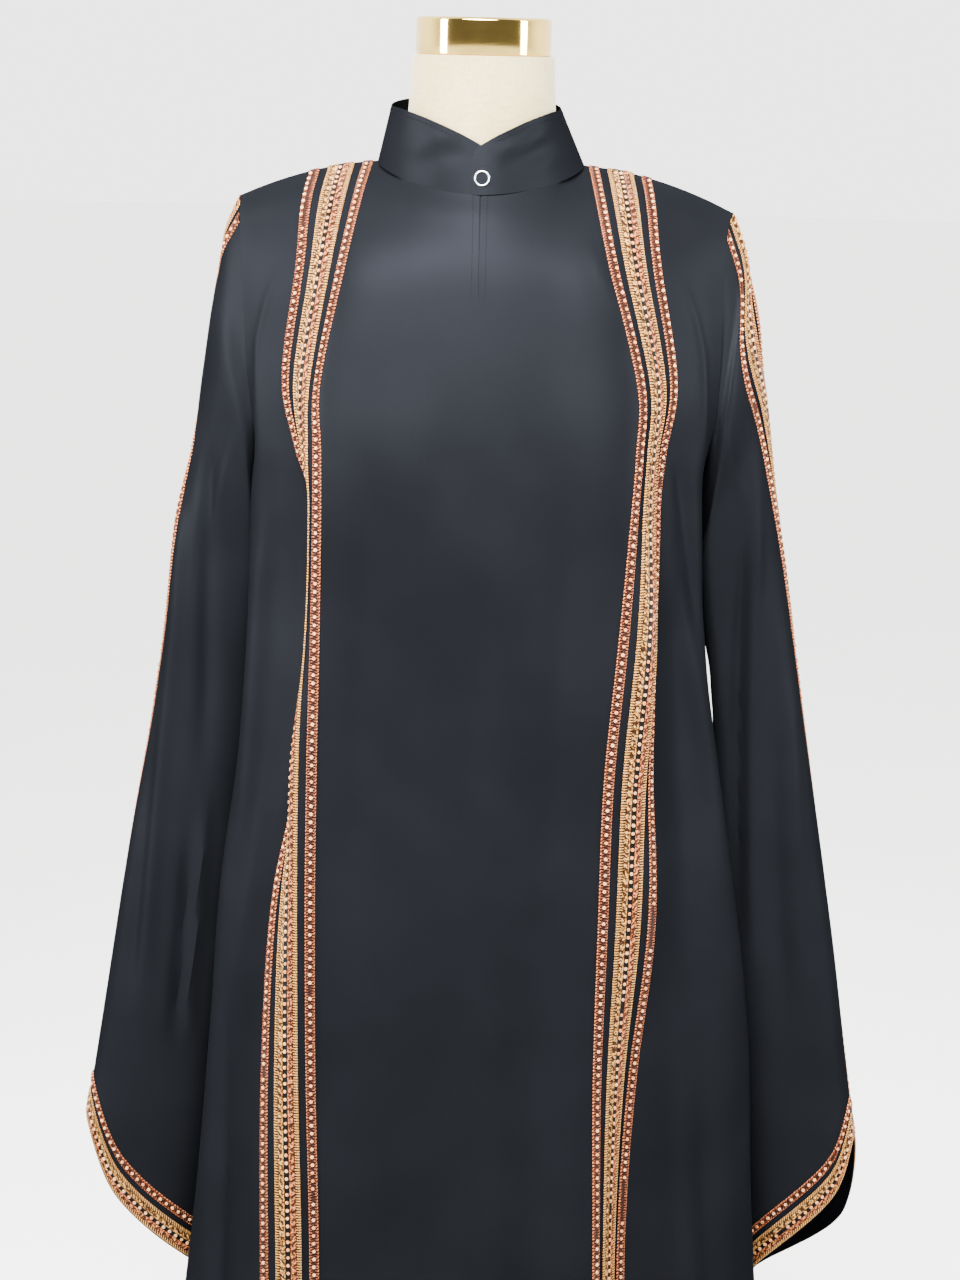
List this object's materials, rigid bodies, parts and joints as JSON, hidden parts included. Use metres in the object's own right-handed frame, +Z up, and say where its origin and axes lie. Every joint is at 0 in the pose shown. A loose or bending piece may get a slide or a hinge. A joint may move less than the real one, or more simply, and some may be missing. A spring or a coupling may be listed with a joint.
{
  "type": "abaya on a dress form",
  "caption": "Floor-length abaya with a stand collar, bell sleeves and beaded braid bands, worn on a limbless dress form on a round weighted base.",
  "frame": {"origin": "centre of the base's flat underside", "axes": "+Z up along the pole, front of the garment towards -Y, +X to the right as one faces it"},
  "size_m": [0.6493, 0.3895, 1.531],
  "materials": {
    "cloth": "black satin-backed crepe, soft drape and a faint blue-grey sheen",
    "wide_braid": "peach and gold thread with a row of pale beads",
    "narrow_braid": "copper thread with a row of pale beads",
    "form_cover": "off-white linen cover",
    "cap_gold": "polished gold-coloured cap",
    "snap_metal": "plated ring of a snap fastener",
    "stand_steel": "brushed steel pole and base"
  },
  "bodies": {
    "root": {"front": "cloth", "back": "cloth", "sleeve_left": "cloth", "sleeve_right": "cloth", "collar": "cloth", "front_left_wide_braid": "wide_braid", "front_right_wide_braid": "wide_braid", "arm_left_wide_braid": "wide_braid", "arm_right_wide_braid": "wide_braid", "cuff_left_wide_braid": "wide_braid", "cuff_right_wide_braid": "wide_braid", "front_left_inner_braid": "narrow_braid", "front_left_outer_braid": "narrow_braid", "front_right_inner_braid": "narrow_braid", "front_right_outer_braid": "narrow_braid", "arm_left_front_braid": "narrow_braid", "arm_left_back_braid": "narrow_braid", "arm_right_front_braid": "narrow_braid", "arm_right_back_braid": "narrow_braid", "cuff_left_narrow_braid": "narrow_braid", "cuff_right_narrow_braid": "narrow_braid", "snap_ring": "snap_metal", "form_torso": "form_cover", "neck_cap": "cap_gold", "pole": "stand_steel", "base": "stand_steel"}
  },
  "joints": []
}
